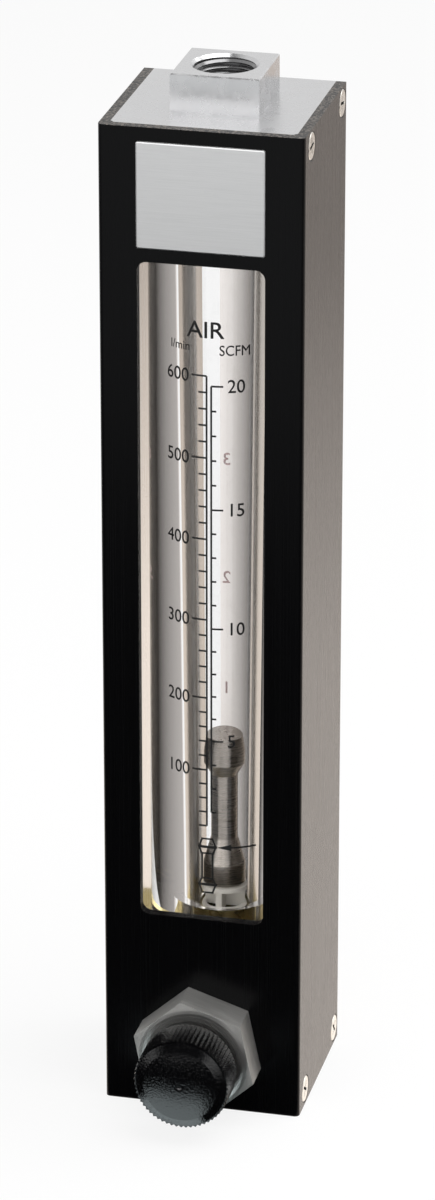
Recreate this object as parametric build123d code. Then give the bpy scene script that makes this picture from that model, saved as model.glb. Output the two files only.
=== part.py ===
from build123d import *
import math
import os

# Variable-area flow meter, standing on its lower end block.
# Millimetres, +Z up, front towards -Y. The origin is on the bottom face, on the metering tube's axis.

# Channel housing
HOUSING_WIDTH = 64.2
HOUSING_DEPTH = 58.8
HOUSING_HEIGHT = 330.0
HOUSING_WALL = 3.2
HOUSING_EDGE_RADIUS = 1.6
TUBE_SETBACK = 31.8  # housing's front face to the tube's axis

# Window in the housing's front wall
WINDOW_WIDTH = 40.0
WINDOW_SILL = 67.2  # floor to the window's lower edge
WINDOW_TOP_MARGIN = 42.8  # window's upper edge to the housing's top
WINDOW_CORNER_RADIUS = 3.0

# Name plate, centred between the window and the housing's top
NAME_PLATE_WIDTH = 40.2
NAME_PLATE_HEIGHT = 34.0
NAME_PLATE_THICKNESS = 0.8
NAME_PLATE_CORNER_RADIUS = 0.8

# End blocks
LOWER_BLOCK_HEIGHT = 47.0
UPPER_BLOCK_HEIGHT = 38.0
BLOCK_EDGE_CHAMFER = 1.1
BOSS_SIDE = 27.9
BOSS_HEIGHT = 11.7
BOSS_EDGE_CHAMFER = 0.4

# Threaded ports: straight wall at the thread's tap-drill size, with an entry chamfer
PORT_RADIUS = 9.6
PORT_DEPTH = 14.0
PORT_CHAMFER = 1.0

# Metering tube and its tapered bore
TUBE_RADIUS = 23.8
TUBE_BORE_RADIUS_LOW = 8.2
TUBE_BORE_RADIUS_HIGH = 10.0
TUBE_EDGE_CHAMFER = 0.6
GASKET_THICKNESS = 1.0
GASKET_EDGE_INSET = 3.0  # tube's outside to the gasket's outside
GASKET_SPIGOT_GAP = 0.6

# Spigots that carry the tube's ends
LOWER_SPIGOT_RADIUS = 9.9
LOWER_SPIGOT_HEIGHT = 15.1
LOWER_COUNTERBORE_HEADROOM = 0.6  # spigot's top to the counterbore's shoulder
UPPER_SPIGOT_RADIUS = 12.0
UPPER_SPIGOT_HEIGHT = 9.0
UPPER_COUNTERBORE_HEADROOM = 0.6
SPIGOT_CLEARANCE = 0.4
ORING_CORD = 2.1
ORING_GROOVE_PLAY = 0.2
ORING_SPIGOT_SHARE = 0.5  # height of the groove along its spigot

# Flow passages
LOWER_PASSAGE_RADIUS = 6.0
UPPER_PASSAGE_RADIUS = 8.0
PLENUM_DEPTH = 14.1  # lower spigot's top to the plenum's floor
SLANT_RADIUS = 3.4
SLANT_RUN = 2.0  # upper end of the slanted passage, forward of the tube's axis
SLANT_FOOT_STEP = 6.8  # lower end of the slanted passage, forward of the seat's face

# Float stops: the lower one is a cross that stands up in the bore between two rims
LOWER_STOP_HEIGHT = 8.4
STOP_THICKNESS = 1.5
STOP_RIM = 1.4
STOP_BAR = 1.6
STOP_SEAT_STEP = 1.3  # stop's rim beyond the passage it sits over

# Float
FLOAT_FOOT_RADIUS = 6.8
FLOAT_HEAD_RADIUS = 6.6
FLOAT_NECK_RADIUS = 4.3
FLOAT_HEAD_TOP_RADIUS = 5.9
FLOAT_FOOT_CHAMFER = 1.0
FLOAT_FOOT_LAND = 6.5
FLOAT_FOOT_TAPER = 8.5
FLOAT_NECK_LENGTH = 22.0
FLOAT_HEAD_TAPER = 4.5
FLOAT_HEAD_LAND = 4.0
FLOAT_HEAD_CROWN = 5.1
FLOAT_STOP_GAP = 0.2

# Needle valve
VALVE_HEIGHT = 22.5
SEAT_SETBACK = 10.0  # seat's face, forward of the tube's axis
SEAT_BORE_RADIUS = 3.5
SEAT_OUTER_RADIUS = 5.5
SEAT_LENGTH = 3.0
ORIFICE_RADIUS = 4.0
CHAMBER_RADIUS = 7.5
CHAMBER_LENGTH = 9.0

# Hex bonnet
BONNET_FLATS = 35.7
BONNET_HEX_LENGTH = 12.0
BONNET_TURN = -18.0
BONNET_CHAMFER_ANGLE = 9.0
BONNET_CHAMFER_FACE = 0.94  # flat face circle as a share of the flats
SHANK_RADIUS = 13.0
SHANK_END_GAP = 0.3
SHANK_CLEARANCE = 0.3
THREAD_CLEARANCE = 0.05
BONNET_ORING_CORD = 2.0

# Needle and its guide
GUIDE_RADIUS = 8.0
GUIDE_FLATS = 13.0
GUIDE_CLEARANCE = 0.05
NEEDLE_GUIDE_LENGTH = 11.4
NEEDLE_STEM_RADIUS = 4.2
NEEDLE_TIP_RADIUS = 1.2
NEEDLE_TIP_LENGTH = 5.0  # seat's face to the tip
NEEDLE_SEAT_GAP = 0.1
NEEDLE_END_GAP = 0.3
NEEDLE_BORE_FLOOR = 4.1  # thread's blind end, ahead of the guide
VALVE_LIFT = 6.0

# Spindle and its packing
SPINDLE_THREAD_RADIUS = 3.0
SPINDLE_THREAD_CLEARANCE = 0.08
SPINDLE_RADIUS = 3.5
SPINDLE_CLEARANCE = 0.05
SPINDLE_FLAT = 2.9
SPINDLE_FREE_GAP = 0.3
COLLAR_RADIUS = 6.0
COLLAR_LENGTH = 1.6
COLLAR_PLAY = 0.15
SHOULDER_LENGTH = 1.2
PACKING_RADIUS = 7.0
PACKING_WASHER_THICKNESS = 0.8
STEM_ORING_CORD = 2.0
GLAND_FLATS = 17.0
GLAND_FLANGE = 1.4

# Knob
KNOB_RADIUS = 15.5
KNOB_LENGTH = 15.3
KNOB_STANDOFF = 3.6  # bonnet's face to the knob
KNOB_TEETH = 60
KNOB_TOOTH_DEPTH = 0.65
KNOB_RIM_LENGTH = 2.7
KNOB_RIM_BEVEL = 2.6
KNOB_RIM_STEP = 0.2  # below the knurl's roots
KNOB_DOME = 1.1
KNOB_BASE_BEVEL = 0.8
KNOB_BORE_DEPTH = 12.0
KNOB_HUB_RADIUS = 6.8
KNOB_SKIRT = 2.6
KNOB_RECESS_DEPTH = 5.2
SET_SCREW_RADIUS = 2.0
SET_SCREW_LENGTH = 6.0
SET_SCREW_SETBACK = 8.6  # knob's base to the set screw
SET_SCREW_SOCKET_FLATS = 2.0
SET_SCREW_SOCKET_DEPTH = 1.8

# Side screws, two a side in each block
SIDE_SCREW_HEAD_RADIUS = 4.75
SIDE_SCREW_RADIUS = 2.4
SIDE_SCREW_LENGTH = 14.0
SIDE_SCREW_HOLE_GAP = 0.2
SIDE_SCREW_END_INSET = 5.3
SIDE_SCREW_FRONT_INSET = 9.8
SIDE_SCREW_BACK_INSET = 5.1

# Tapped holes for a panel, one in the back of each block
PANEL_HOLE_RADIUS = 2.6
PANEL_HOLE_DEPTH = 11.0
PANEL_HOLE_LOW = 36.0  # floor to the lower hole
PANEL_HOLE_SPACING = 275.0

# Places that follow from the sizes above
FRONT_Y = -TUBE_SETBACK
BACK_Y = FRONT_Y + HOUSING_DEPTH
BLOCK_FRONT_Y = FRONT_Y + HOUSING_WALL
BLOCK_WIDTH = HOUSING_WIDTH - 2 * HOUSING_WALL
UPPER_BLOCK_Z = HOUSING_HEIGHT - UPPER_BLOCK_HEIGHT
BOSS_TOP_Z = HOUSING_HEIGHT + BOSS_HEIGHT
LOWER_SPIGOT_TOP = LOWER_BLOCK_HEIGHT + LOWER_SPIGOT_HEIGHT
UPPER_SPIGOT_END = UPPER_BLOCK_Z - UPPER_SPIGOT_HEIGHT
TUBE_LOW = LOWER_BLOCK_HEIGHT + GASKET_THICKNESS
TUBE_HIGH = UPPER_BLOCK_Z - GASKET_THICKNESS
LOWER_STOP_FOOT = LOWER_SPIGOT_TOP - STOP_THICKNESS
FLOAT_LOW = LOWER_STOP_FOOT + LOWER_STOP_HEIGHT + FLOAT_STOP_GAP

SEAT_Y = -SEAT_SETBACK
CHAMBER_FRONT_Y = SEAT_Y - CHAMBER_LENGTH
SHANK_END_Y = CHAMBER_FRONT_Y - SHANK_END_GAP
BONNET_FACE_Y = FRONT_Y - BONNET_HEX_LENGTH
NEEDLE_GUIDE_Y = SHANK_END_Y - NEEDLE_END_GAP
NEEDLE_BACK_Y = NEEDLE_GUIDE_Y - NEEDLE_GUIDE_LENGTH
NEEDLE_BORE_Y = NEEDLE_GUIDE_Y + NEEDLE_BORE_FLOOR
GUIDE_END_Y = NEEDLE_BACK_Y - VALVE_LIFT - NEEDLE_END_GAP
SHOULDER_Y = GUIDE_END_Y - SHOULDER_LENGTH
COLLAR_Y = SHOULDER_Y - COLLAR_PLAY
COLLAR_END_Y = COLLAR_Y - COLLAR_LENGTH
WASHER_Y = COLLAR_END_Y - COLLAR_PLAY
GLAND_Y = WASHER_Y - PACKING_WASHER_THICKNESS
SPINDLE_END_Y = NEEDLE_BORE_Y - VALVE_LIFT - SPINDLE_FREE_GAP
KNOB_BASE_Y = BONNET_FACE_Y - KNOB_STANDOFF
KNOB_FACE_Y = KNOB_BASE_Y - KNOB_LENGTH


def slab(width, y_low, y_high, z_low, z_high):
    """A box centred across the object."""
    middle = Pos(0, (y_low + y_high) / 2, (z_low + z_high) / 2)
    return middle * Box(width, y_high - y_low, z_high - z_low)


def upright(radius, z_low, z_high):
    """A cylinder on the tube's axis."""
    return Pos(0, 0, (z_low + z_high) / 2) * Cylinder(radius, z_high - z_low)


def turned_upright(*points):
    """A solid turned about the tube's axis from (radius, z) points."""
    outline = Polyline(*[(radius, 0, z) for radius, z in points], close=True)
    return revolve(make_face(outline), axis=Axis.Z)


def turned_on_valve(*points):
    """A solid turned about the valve's axis from (radius, y) points."""
    outline = Polyline(*points, close=True)
    return Pos(0, 0, VALVE_HEIGHT) * revolve(make_face(outline), axis=Axis.Y)


def valve_rod(radius, y_near, y_far):
    """A cylinder on the valve's axis."""
    low, high = sorted((y_near, y_far))
    return turned_on_valve((0, low), (radius, low), (radius, high), (0, high))


def valve_prism(flats, y_near, y_far, turn):
    """A hexagonal bar on the valve's axis."""
    section = RegularPolygon(flats / 2, 6, major_radius=False, rotation=turn)
    low, high = sorted((y_near, y_far))
    return Pos(0, high, VALVE_HEIGHT) * extrude(Plane.XZ * section, high - low)


def cross_rod(radius, length, x_end, y, z):
    """A cylinder that runs inwards along X from x_end."""
    inward = -math.copysign(1, x_end)
    middle = Pos(x_end + inward * length / 2, y, z)
    return middle * Rot(0, 90, 0) * Cylinder(radius, length)


def side_screw_places():
    """Where each side screw's head meets the housing: (x, y, z)."""
    half = HOUSING_WIDTH / 2
    rows = (FRONT_Y + SIDE_SCREW_FRONT_INSET, BACK_Y - SIDE_SCREW_BACK_INSET)
    levels = (SIDE_SCREW_END_INSET, HOUSING_HEIGHT - SIDE_SCREW_END_INSET)
    return [(x, y, z) for x in (-half, half) for y in rows for z in levels]


def countersink(x, y, z):
    """The conical seat of one side screw, from the housing's side inwards."""
    depth = SIDE_SCREW_HEAD_RADIUS - SIDE_SCREW_RADIUS
    side = math.copysign(1, x)
    cone = Cone(SIDE_SCREW_RADIUS, SIDE_SCREW_HEAD_RADIUS, depth)
    return Pos(x - side * depth / 2, y, z) * Rot(0, side * 90, 0) * cone


def housing():
    """The channel: front wall and two sides, with the window and the valve's hole."""
    shell = slab(HOUSING_WIDTH, FRONT_Y, BACK_Y, 0, HOUSING_HEIGHT)
    front_edges = shell.edges().filter_by(Axis.Z).group_by(Axis.Y)[0]
    shell = fillet(front_edges, HOUSING_EDGE_RADIUS)
    shell -= slab(BLOCK_WIDTH, BLOCK_FRONT_Y, BACK_Y, 0, HOUSING_HEIGHT)
    window = slab(WINDOW_WIDTH, FRONT_Y, BLOCK_FRONT_Y, WINDOW_SILL, HOUSING_HEIGHT - WINDOW_TOP_MARGIN)
    shell -= fillet(window.edges().filter_by(Axis.Y), WINDOW_CORNER_RADIUS)
    shell -= valve_rod(SHANK_RADIUS + SHANK_CLEARANCE, FRONT_Y, BLOCK_FRONT_Y)
    for x, y, z in side_screw_places():
        shell -= cross_rod(SIDE_SCREW_RADIUS + SIDE_SCREW_HOLE_GAP, HOUSING_WALL, x, y, z)
        shell -= countersink(x, y, z)
    return shell


def name_plate():
    """The bare metal plate on the housing's front, above the window."""
    middle = HOUSING_HEIGHT - WINDOW_TOP_MARGIN / 2
    low = middle - NAME_PLATE_HEIGHT / 2
    plate = slab(NAME_PLATE_WIDTH, FRONT_Y - NAME_PLATE_THICKNESS, FRONT_Y, low, low + NAME_PLATE_HEIGHT)
    return fillet(plate.edges().filter_by(Axis.Y), NAME_PLATE_CORNER_RADIUS)


def plain_block(z_low, z_high):
    """A block that fills the channel, with its front edges eased."""
    block = slab(BLOCK_WIDTH, BLOCK_FRONT_Y, BACK_Y, z_low, z_high)
    front_edges = block.edges().filter_by(Axis.Z).group_by(Axis.Y)[0]
    return chamfer(front_edges, BLOCK_EDGE_CHAMFER)


def block_screw_holes(z_low, z_high):
    """The tapped holes of the side screws that enter one block."""
    holes = [
        cross_rod(SIDE_SCREW_RADIUS, SIDE_SCREW_LENGTH, x, y, z)
        for x, y, z in side_screw_places()
        if z_low < z < z_high
    ]
    return Part() + holes


def panel_hole(z):
    """The tapped hole in a block's back for a screw through a panel."""
    middle = Pos(0, BACK_Y - PANEL_HOLE_DEPTH / 2, z)
    return middle * Rot(90, 0, 0) * Cylinder(PANEL_HOLE_RADIUS, PANEL_HOLE_DEPTH)


def oring_level(base, height):
    """The middle of a groove on a spigot that starts at base."""
    return base + height * ORING_SPIGOT_SHARE


def spigot_groove(spigot_radius, level):
    """The ring cut from a spigot for its O-ring."""
    half = (ORING_CORD + ORING_GROOVE_PLAY) / 2
    floor = spigot_radius + SPIGOT_CLEARANCE - ORING_CORD
    return upright(spigot_radius, level - half, level + half) - upright(floor, level - half, level + half)


def port(mouth_z, inward):
    """A threaded port's wall and chamfer, cut from mouth_z in the direction inward."""
    lip = PORT_RADIUS + PORT_CHAMFER
    return turned_upright(
        (0, mouth_z),
        (lip, mouth_z),
        (PORT_RADIUS, mouth_z + inward * PORT_CHAMFER),
        (PORT_RADIUS, mouth_z + inward * PORT_DEPTH),
        (0, mouth_z + inward * PORT_DEPTH),
    )


def slanted_passage():
    """The drilling that joins the valve's chamber to the plenum under the tube."""
    top = Vector(0, -SLANT_RUN, LOWER_SPIGOT_TOP - PLENUM_DEPTH + SLANT_RADIUS)
    foot = Vector(0, SEAT_Y - SLANT_FOOT_STEP, VALVE_HEIGHT)
    path = top - foot
    return Plane(foot, z_dir=path) * Cylinder(
        SLANT_RADIUS, path.length, align=(Align.CENTER, Align.CENTER, Align.MIN)
    )


def lower_block():
    """The inlet block: port, valve bore, passages and the tube's lower spigot."""
    block = plain_block(0, LOWER_BLOCK_HEIGHT)
    block += upright(LOWER_SPIGOT_RADIUS, LOWER_BLOCK_HEIGHT, LOWER_SPIGOT_TOP)
    block -= spigot_groove(LOWER_SPIGOT_RADIUS, oring_level(LOWER_BLOCK_HEIGHT, LOWER_SPIGOT_HEIGHT))
    block -= port(0, 1)
    block -= upright(LOWER_PASSAGE_RADIUS, 0, VALVE_HEIGHT + LOWER_PASSAGE_RADIUS)
    block -= upright(LOWER_PASSAGE_RADIUS, LOWER_SPIGOT_TOP - PLENUM_DEPTH, LOWER_SPIGOT_TOP)
    stop_radius = LOWER_PASSAGE_RADIUS + STOP_SEAT_STEP
    block -= upright(stop_radius, LOWER_STOP_FOOT, LOWER_SPIGOT_TOP)
    block -= valve_rod(SHANK_RADIUS + THREAD_CLEARANCE, BLOCK_FRONT_Y, SHANK_END_Y + SHANK_END_GAP)
    block -= valve_rod(CHAMBER_RADIUS, CHAMBER_FRONT_Y, SEAT_Y)
    block -= valve_rod(SEAT_OUTER_RADIUS, SEAT_Y, SEAT_Y + SEAT_LENGTH)
    block -= valve_rod(ORIFICE_RADIUS, SEAT_Y, 0)
    block -= slanted_passage()
    block -= block_screw_holes(0, LOWER_BLOCK_HEIGHT)
    block -= panel_hole(PANEL_HOLE_LOW)
    return block


def upper_block():
    """The outlet block: square boss with its port, passage and the tube's upper spigot."""
    block = plain_block(UPPER_BLOCK_Z, HOUSING_HEIGHT)
    boss = Pos(0, 0, HOUSING_HEIGHT + BOSS_HEIGHT / 2) * Box(BOSS_SIDE, BOSS_SIDE, BOSS_HEIGHT)
    boss = chamfer(boss.edges().group_by(Axis.Z)[-1], BOSS_EDGE_CHAMFER)
    block += boss
    block += upright(UPPER_SPIGOT_RADIUS, UPPER_SPIGOT_END, UPPER_BLOCK_Z)
    block -= spigot_groove(UPPER_SPIGOT_RADIUS, oring_level(UPPER_BLOCK_Z, -UPPER_SPIGOT_HEIGHT))
    block -= port(BOSS_TOP_Z, -1)
    block -= upright(UPPER_PASSAGE_RADIUS, UPPER_SPIGOT_END, BOSS_TOP_Z)
    stop_radius = UPPER_PASSAGE_RADIUS + STOP_SEAT_STEP
    block -= upright(stop_radius, UPPER_SPIGOT_END, UPPER_SPIGOT_END + STOP_THICKNESS)
    block -= block_screw_holes(UPPER_BLOCK_Z, HOUSING_HEIGHT)
    block -= panel_hole(PANEL_HOLE_LOW + PANEL_HOLE_SPACING)
    return block


def metering_tube():
    """The clear thick-walled tube: a bore that widens upwards and a counterbore at each end."""
    low_radius = LOWER_SPIGOT_RADIUS + SPIGOT_CLEARANCE
    high_radius = UPPER_SPIGOT_RADIUS + SPIGOT_CLEARANCE
    low_shoulder = LOWER_SPIGOT_TOP + LOWER_COUNTERBORE_HEADROOM
    high_shoulder = UPPER_SPIGOT_END - UPPER_COUNTERBORE_HEADROOM
    rim = TUBE_RADIUS - TUBE_EDGE_CHAMFER
    return turned_upright(
        (low_radius, TUBE_LOW),
        (rim, TUBE_LOW),
        (TUBE_RADIUS, TUBE_LOW + TUBE_EDGE_CHAMFER),
        (TUBE_RADIUS, TUBE_HIGH - TUBE_EDGE_CHAMFER),
        (rim, TUBE_HIGH),
        (high_radius, TUBE_HIGH),
        (high_radius, high_shoulder),
        (TUBE_BORE_RADIUS_HIGH, high_shoulder),
        (TUBE_BORE_RADIUS_LOW, low_shoulder),
        (low_radius, low_shoulder),
    )


def tube_gasket(spigot_radius, z_low):
    """The flat ring between a tube's end and its block."""
    z_high = z_low + GASKET_THICKNESS
    ring = upright(TUBE_RADIUS - GASKET_EDGE_INSET, z_low, z_high)
    return ring - upright(spigot_radius + GASKET_SPIGOT_GAP, z_low, z_high)


def tube_oring(spigot_radius, level):
    """The ring that seals a spigot in the tube's counterbore."""
    middle = spigot_radius + SPIGOT_CLEARANCE - ORING_CORD / 2
    return Pos(0, 0, level) * Torus(middle, ORING_CORD / 2)


def stop_rim(outer, z_low):
    """One rim of a float stop."""
    z_high = z_low + STOP_THICKNESS
    return upright(outer, z_low, z_high) - upright(outer - STOP_RIM, z_low, z_high)


def float_stop(passage_radius, z_low, height):
    """A cross of two bars, with a rim at each end, that holds the float and lets the flow by."""
    outer = passage_radius + STOP_SEAT_STEP
    middle = Pos(0, 0, z_low + height / 2)
    stop = stop_rim(outer, z_low)
    stop += stop_rim(outer, z_low + height - STOP_THICKNESS)
    for turn in (0, 90):
        stop += middle * Rot(0, 0, turn) * Box(2 * outer - STOP_RIM, STOP_BAR, height)
    return stop


def float_body():
    """The dumbbell float: foot, neck and head turned from one bar."""
    levels = [FLOAT_LOW]
    for step in (
        FLOAT_FOOT_CHAMFER,
        FLOAT_FOOT_LAND,
        FLOAT_FOOT_TAPER,
        FLOAT_NECK_LENGTH,
        FLOAT_HEAD_TAPER,
        FLOAT_HEAD_LAND,
        FLOAT_HEAD_CROWN,
    ):
        levels.append(levels[-1] + step)
    radii = (
        FLOAT_FOOT_RADIUS - FLOAT_FOOT_CHAMFER,
        FLOAT_FOOT_RADIUS,
        FLOAT_FOOT_RADIUS,
        FLOAT_NECK_RADIUS,
        FLOAT_NECK_RADIUS,
        FLOAT_HEAD_RADIUS,
        FLOAT_HEAD_RADIUS,
        FLOAT_HEAD_TOP_RADIUS,
    )
    return turned_upright((0, levels[0]), *zip(radii, levels), (0, levels[-1]))


def valve_seat():
    """The ring that the needle closes against."""
    return valve_rod(SEAT_OUTER_RADIUS, SEAT_Y, SEAT_Y + SEAT_LENGTH) - valve_rod(
        SEAT_BORE_RADIUS, SEAT_Y, SEAT_Y + SEAT_LENGTH
    )


def bonnet_hex():
    """The hexagon with its front corners turned off at an angle."""
    hexagon = valve_prism(BONNET_FLATS, BONNET_FACE_Y, FRONT_Y, BONNET_TURN)
    face_radius = BONNET_FLATS * BONNET_CHAMFER_FACE / 2
    slope = math.tan(math.radians(BONNET_CHAMFER_ANGLE))
    back_radius = face_radius + BONNET_HEX_LENGTH / slope
    cone = turned_on_valve(
        (0, BONNET_FACE_Y), (face_radius, BONNET_FACE_Y), (back_radius, FRONT_Y), (0, FRONT_Y)
    )
    return hexagon & cone


def bonnet():
    """The hex bonnet: shank, keyed guide for the needle and the packing recess."""
    body = bonnet_hex() + valve_rod(SHANK_RADIUS, FRONT_Y, SHANK_END_Y)
    groove_end = SHANK_END_Y - BONNET_ORING_CORD
    groove_floor = SHANK_RADIUS + THREAD_CLEARANCE - BONNET_ORING_CORD
    body -= valve_rod(SHANK_RADIUS, SHANK_END_Y, groove_end)
    body += valve_rod(groove_floor, SHANK_END_Y, groove_end)
    guide = valve_rod(GUIDE_RADIUS, SHANK_END_Y, GUIDE_END_Y)
    keyed = slab(GUIDE_FLATS, GUIDE_END_Y, SHANK_END_Y, 0, 2 * VALVE_HEIGHT)
    body -= guide & keyed
    body -= valve_rod(SPINDLE_THREAD_RADIUS + SPINDLE_FREE_GAP, GUIDE_END_Y, SHOULDER_Y)
    body -= valve_rod(PACKING_RADIUS, SHOULDER_Y, BONNET_FACE_Y)
    return body


def valve_ring(middle_radius, cord, y):
    """An O-ring on the valve's axis."""
    return Pos(0, y, VALVE_HEIGHT) * Rot(90, 0, 0) * Torus(middle_radius, cord / 2)


def bonnet_oring():
    """The ring that seals the bonnet's shank in the block."""
    middle = SHANK_RADIUS + THREAD_CLEARANCE - BONNET_ORING_CORD / 2
    return valve_ring(middle, BONNET_ORING_CORD, SHANK_END_Y - BONNET_ORING_CORD / 2)


def needle():
    """The needle: tapered tip, stem and flatted guide with its blind threaded bore."""
    slope = (SEAT_BORE_RADIUS - NEEDLE_SEAT_GAP - NEEDLE_TIP_RADIUS) / NEEDLE_TIP_LENGTH
    cone_y = SEAT_Y - (NEEDLE_STEM_RADIUS - SEAT_BORE_RADIUS + NEEDLE_SEAT_GAP) / slope
    tip_y = SEAT_Y + NEEDLE_TIP_LENGTH
    bore = SPINDLE_THREAD_RADIUS + SPINDLE_THREAD_CLEARANCE
    guide_radius = GUIDE_RADIUS - GUIDE_CLEARANCE
    guide_flats = GUIDE_FLATS - 2 * GUIDE_CLEARANCE
    guide = valve_rod(guide_radius, NEEDLE_GUIDE_Y, NEEDLE_BACK_Y)
    guide &= slab(guide_flats, NEEDLE_BACK_Y, NEEDLE_GUIDE_Y, 0, 2 * VALVE_HEIGHT)
    stem = turned_on_valve(
        (0, tip_y),
        (NEEDLE_TIP_RADIUS, tip_y),
        (NEEDLE_STEM_RADIUS, cone_y),
        (NEEDLE_STEM_RADIUS, NEEDLE_GUIDE_Y),
        (0, NEEDLE_GUIDE_Y),
    )
    return guide + stem - valve_rod(bore, NEEDLE_BORE_Y, NEEDLE_BACK_Y)


def packing_washer():
    """The washer between the spindle's collar and the gland."""
    ring = valve_rod(PACKING_RADIUS, WASHER_Y, GLAND_Y)
    return ring - valve_rod(SPINDLE_RADIUS + SPINDLE_FREE_GAP, WASHER_Y, GLAND_Y)


def stem_oring():
    """The ring that seals the spindle inside the gland."""
    middle = SPINDLE_RADIUS + SPINDLE_CLEARANCE + STEM_ORING_CORD / 2
    return valve_ring(middle, STEM_ORING_CORD, GLAND_Y - STEM_ORING_CORD / 2)


def gland_nut():
    """The gland that closes the packing recess."""
    face_y = BONNET_FACE_Y - GLAND_FLANGE
    nut = valve_rod(PACKING_RADIUS, GLAND_Y, BONNET_FACE_Y)
    nut += valve_prism(GLAND_FLATS, face_y, BONNET_FACE_Y, BONNET_TURN)
    nut -= valve_rod(SPINDLE_RADIUS + SPINDLE_CLEARANCE, GLAND_Y, face_y)
    cord_radius = SPINDLE_RADIUS + SPINDLE_CLEARANCE + STEM_ORING_CORD
    nut -= valve_rod(cord_radius, GLAND_Y, GLAND_Y - STEM_ORING_CORD)
    return nut


def spindle():
    """The spindle: threaded end, thrust collar and a shaft with a flat for the knob."""
    end_y = KNOB_BASE_Y - KNOB_BORE_DEPTH
    bar = turned_on_valve(
        (0, SPINDLE_END_Y),
        (SPINDLE_THREAD_RADIUS, SPINDLE_END_Y),
        (SPINDLE_THREAD_RADIUS, COLLAR_Y),
        (COLLAR_RADIUS, COLLAR_Y),
        (COLLAR_RADIUS, COLLAR_END_Y),
        (SPINDLE_RADIUS, COLLAR_END_Y),
        (SPINDLE_RADIUS, end_y),
        (0, end_y),
    )
    return bar - flat_cut()


def flat_cut():
    """What the spindle's flat takes off, on its lower side inside the knob."""
    end_y = KNOB_BASE_Y - KNOB_BORE_DEPTH
    low = VALVE_HEIGHT - SPINDLE_RADIUS
    return slab(2 * SPINDLE_RADIUS, end_y, KNOB_BASE_Y, low, VALVE_HEIGHT - SPINDLE_FLAT)


def knurl_section():
    """The knurl's outline across the knob: one V tooth for each step round the rim."""
    half_step = math.pi / KNOB_TEETH
    points = []
    for index in range(2 * KNOB_TEETH):
        radius = KNOB_RADIUS - (index % 2) * KNOB_TOOTH_DEPTH
        angle = index * half_step
        points.append((radius * math.cos(angle), radius * math.sin(angle)))
    return make_face(Polyline(*points, close=True))


def knob_form():
    """The knob's outside: base bevel, knurled band, smooth bevelled rim and a domed face."""
    rim_radius = KNOB_RADIUS - KNOB_TOOTH_DEPTH - KNOB_RIM_STEP
    face_radius = rim_radius - KNOB_RIM_BEVEL
    past_tips = KNOB_RADIUS + KNOB_BASE_BEVEL
    band_end_y = KNOB_FACE_Y + KNOB_RIM_LENGTH
    edge_y = KNOB_FACE_Y + KNOB_DOME
    side = Polyline(
        (0, KNOB_FACE_Y),
        (0, KNOB_BASE_Y),
        (KNOB_RADIUS - KNOB_BASE_BEVEL, KNOB_BASE_Y),
        (past_tips, KNOB_BASE_Y - 2 * KNOB_BASE_BEVEL),
        (past_tips, band_end_y),
        (rim_radius, band_end_y),
        (rim_radius, edge_y + KNOB_RIM_BEVEL / 2),
        (face_radius, edge_y),
    )
    dome = TangentArc((0, KNOB_FACE_Y), (face_radius, edge_y), tangent=(1, 0))
    turned = revolve(make_face([dome, *side.edges()]), axis=Axis.Y)
    bar = extrude(Plane.XZ * knurl_section(), KNOB_LENGTH + 2 * KNOB_BASE_BEVEL)
    return Pos(0, 0, VALVE_HEIGHT) * (turned & Pos(0, KNOB_BASE_Y + KNOB_BASE_BEVEL, 0) * bar)


def knob():
    """The knurled knob, cored from behind round its hub, with the bore for the spindle."""
    recess_y = KNOB_BASE_Y - KNOB_RECESS_DEPTH
    outer = KNOB_RADIUS - KNOB_TOOTH_DEPTH - KNOB_SKIRT
    form = knob_form()
    form -= valve_rod(outer, KNOB_BASE_Y, recess_y) - valve_rod(KNOB_HUB_RADIUS, KNOB_BASE_Y, recess_y)
    form -= valve_rod(SPINDLE_RADIUS, KNOB_BASE_Y, KNOB_BASE_Y - KNOB_BORE_DEPTH) - flat_cut()
    hole_depth = KNOB_RADIUS - SPINDLE_FLAT
    form -= set_screw_rod(SPINDLE_FLAT, hole_depth)
    return form


def set_screw_rod(start, length):
    """A cylinder of the set screw's size, downwards from start below the valve's axis."""
    middle = Pos(0, KNOB_BASE_Y - SET_SCREW_SETBACK, VALVE_HEIGHT - start - length / 2)
    return middle * Cylinder(SET_SCREW_RADIUS, length)


def set_screw():
    """The socket set screw that bears on the spindle's flat."""
    screw = set_screw_rod(SPINDLE_FLAT, SET_SCREW_LENGTH)
    end_z = VALVE_HEIGHT - SPINDLE_FLAT - SET_SCREW_LENGTH
    section = RegularPolygon(SET_SCREW_SOCKET_FLATS / 2, 6, major_radius=False)
    socket = extrude(section, SET_SCREW_SOCKET_DEPTH)
    return screw - Pos(0, KNOB_BASE_Y - SET_SCREW_SETBACK, end_z) * socket


def side_screws():
    """The eight countersunk screws that hold the housing to the blocks."""
    screws = Part()
    for x, y, z in side_screw_places():
        screws += cross_rod(SIDE_SCREW_RADIUS, SIDE_SCREW_LENGTH, x, y, z) + countersink(x, y, z)
    return screws


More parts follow.
